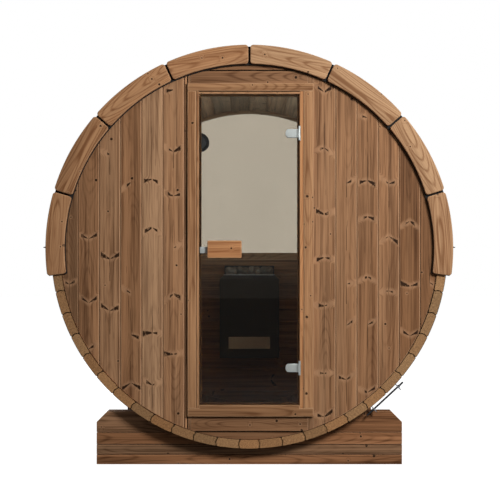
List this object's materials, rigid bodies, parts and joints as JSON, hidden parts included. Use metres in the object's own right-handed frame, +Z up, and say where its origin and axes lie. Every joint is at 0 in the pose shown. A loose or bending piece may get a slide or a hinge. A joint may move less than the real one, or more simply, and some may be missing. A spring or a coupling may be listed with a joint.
{
  "type": "barrel sauna",
  "caption": "Outdoor barrel sauna of curved staves on two cradles, with a hinged tinted glass door, arched end trim, half-moon rear window and a wall-hung stone heater.",
  "frame": {"origin": "on the ground, below the middle of the barrel", "axes": "+Z up, +Y along the barrel from the door end to the window end, +X to the right seen from the door"},
  "size_m": [2.0836, 1.8583, 2.135],
  "materials": {
    "stave_wood": "satin",
    "wall_wood": "satin",
    "frame_wood": "satin",
    "trim_wood": "satin",
    "cradle_wood": "satin",
    "handle_wood": "satin",
    "door_glass": "polished, tinted",
    "window_glass": "polished",
    "fitting_metal": "satin",
    "band_steel": "satin",
    "covering": "matte, mineral granules",
    "drip_metal": "satin",
    "heater_metal": "matte",
    "heater_stone": "rough",
    "panel_metal": "satin",
    "vent_plastic": "matte"
  },
  "bodies": {
    "barrel": {"staves_bottom": "stave_wood", "staves_lower_left": "stave_wood", "staves_lower_right": "stave_wood", "staves_side_left": "stave_wood", "staves_side_right": "stave_wood", "staves_upper_left": "stave_wood", "staves_upper_right": "stave_wood", "staves_top": "stave_wood", "front_wall_left": "wall_wood", "front_wall_right": "wall_wood", "front_wall_header": "wall_wood", "front_wall_below_door": "wall_wood", "door_frame_head": "frame_wood", "door_frame_sill": "frame_wood", "door_post_latch": "frame_wood", "door_post_hinge": "frame_wood", "door_stops": "frame_wood", "hinge_leaves": "fitting_metal", "rear_wall_boards": "wall_wood", "rear_window_rail": "frame_wood", "rear_window_glass": "window_glass", "rear_window_bead": "frame_wood", "rear_vent": "vent_plastic", "front_arch_trim": "trim_wood", "rear_arch_trim": "trim_wood", "roof_covering": "covering", "drip_edges": "drip_metal", "band_front": "band_steel", "band_rear": "band_steel", "band_lugs": "band_steel", "tension_rods": "band_steel", "cradle_front": "cradle_wood", "cradle_rear": "cradle_wood", "heater_case": "heater_metal", "heater_stones": "heater_stone", "heater_panel": "panel_metal", "heater_brackets": "heater_metal"},
    "door": {"door_glass": "door_glass", "hinge_clamp_upper": "fitting_metal", "hinge_clamp_lower": "fitting_metal", "door_handle_outer": "handle_wood", "door_handle_inner": "handle_wood", "door_catch": "fitting_metal"}
  },
  "joints": [
    {"name": "door_hinge", "type": "hinge", "parent": "barrel", "child": "door", "pos_m": [0.253, -0.91, 1.097], "axis": [0, 0, 1], "range_deg": [0, 110]}
  ]
}
